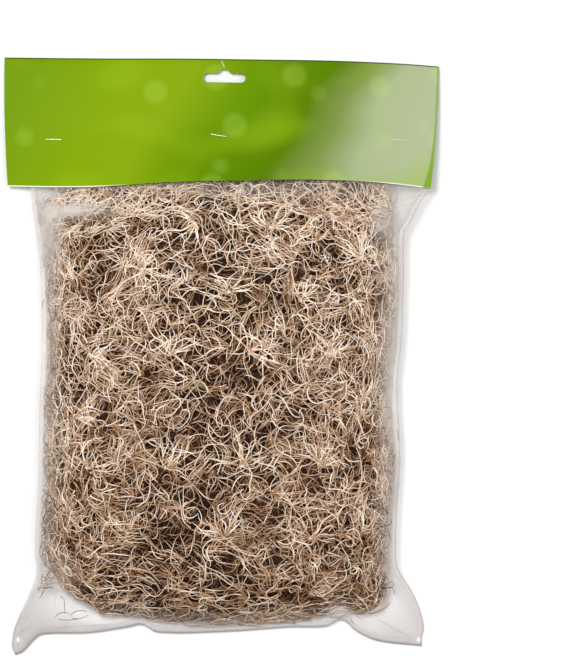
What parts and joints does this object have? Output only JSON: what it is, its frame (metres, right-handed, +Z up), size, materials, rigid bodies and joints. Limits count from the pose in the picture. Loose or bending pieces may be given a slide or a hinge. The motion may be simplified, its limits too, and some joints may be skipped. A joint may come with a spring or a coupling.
{
  "type": "bagged spanish moss bunch",
  "caption": "Dried Spanish moss pressed into a clear film bag, closed by a folded, stapled header card with a hang slot.",
  "frame": {"origin": "middle of the rectangle that the pack covers, on the surface that it lies on", "axes": "the pack lies on its back: +Y towards the header card, +X to the right seen from above, +Z up out of the front"},
  "size_m": [0.3302, 0.4558, 0.0613],
  "materials": {
    "dried_moss": "dry, matte, fibrous",
    "clear_film": "clear and slightly milky, glossy, crinkled",
    "printed_card": "smooth coated print",
    "staple_wire": "bright wire"
  },
  "bodies": {
    "root": {"moss_bunch": "dried_moss", "film_bag": "clear_film", "header_card": "printed_card", "staple_1": "staple_wire", "staple_2": "staple_wire", "staple_3": "staple_wire"}
  },
  "joints": []
}
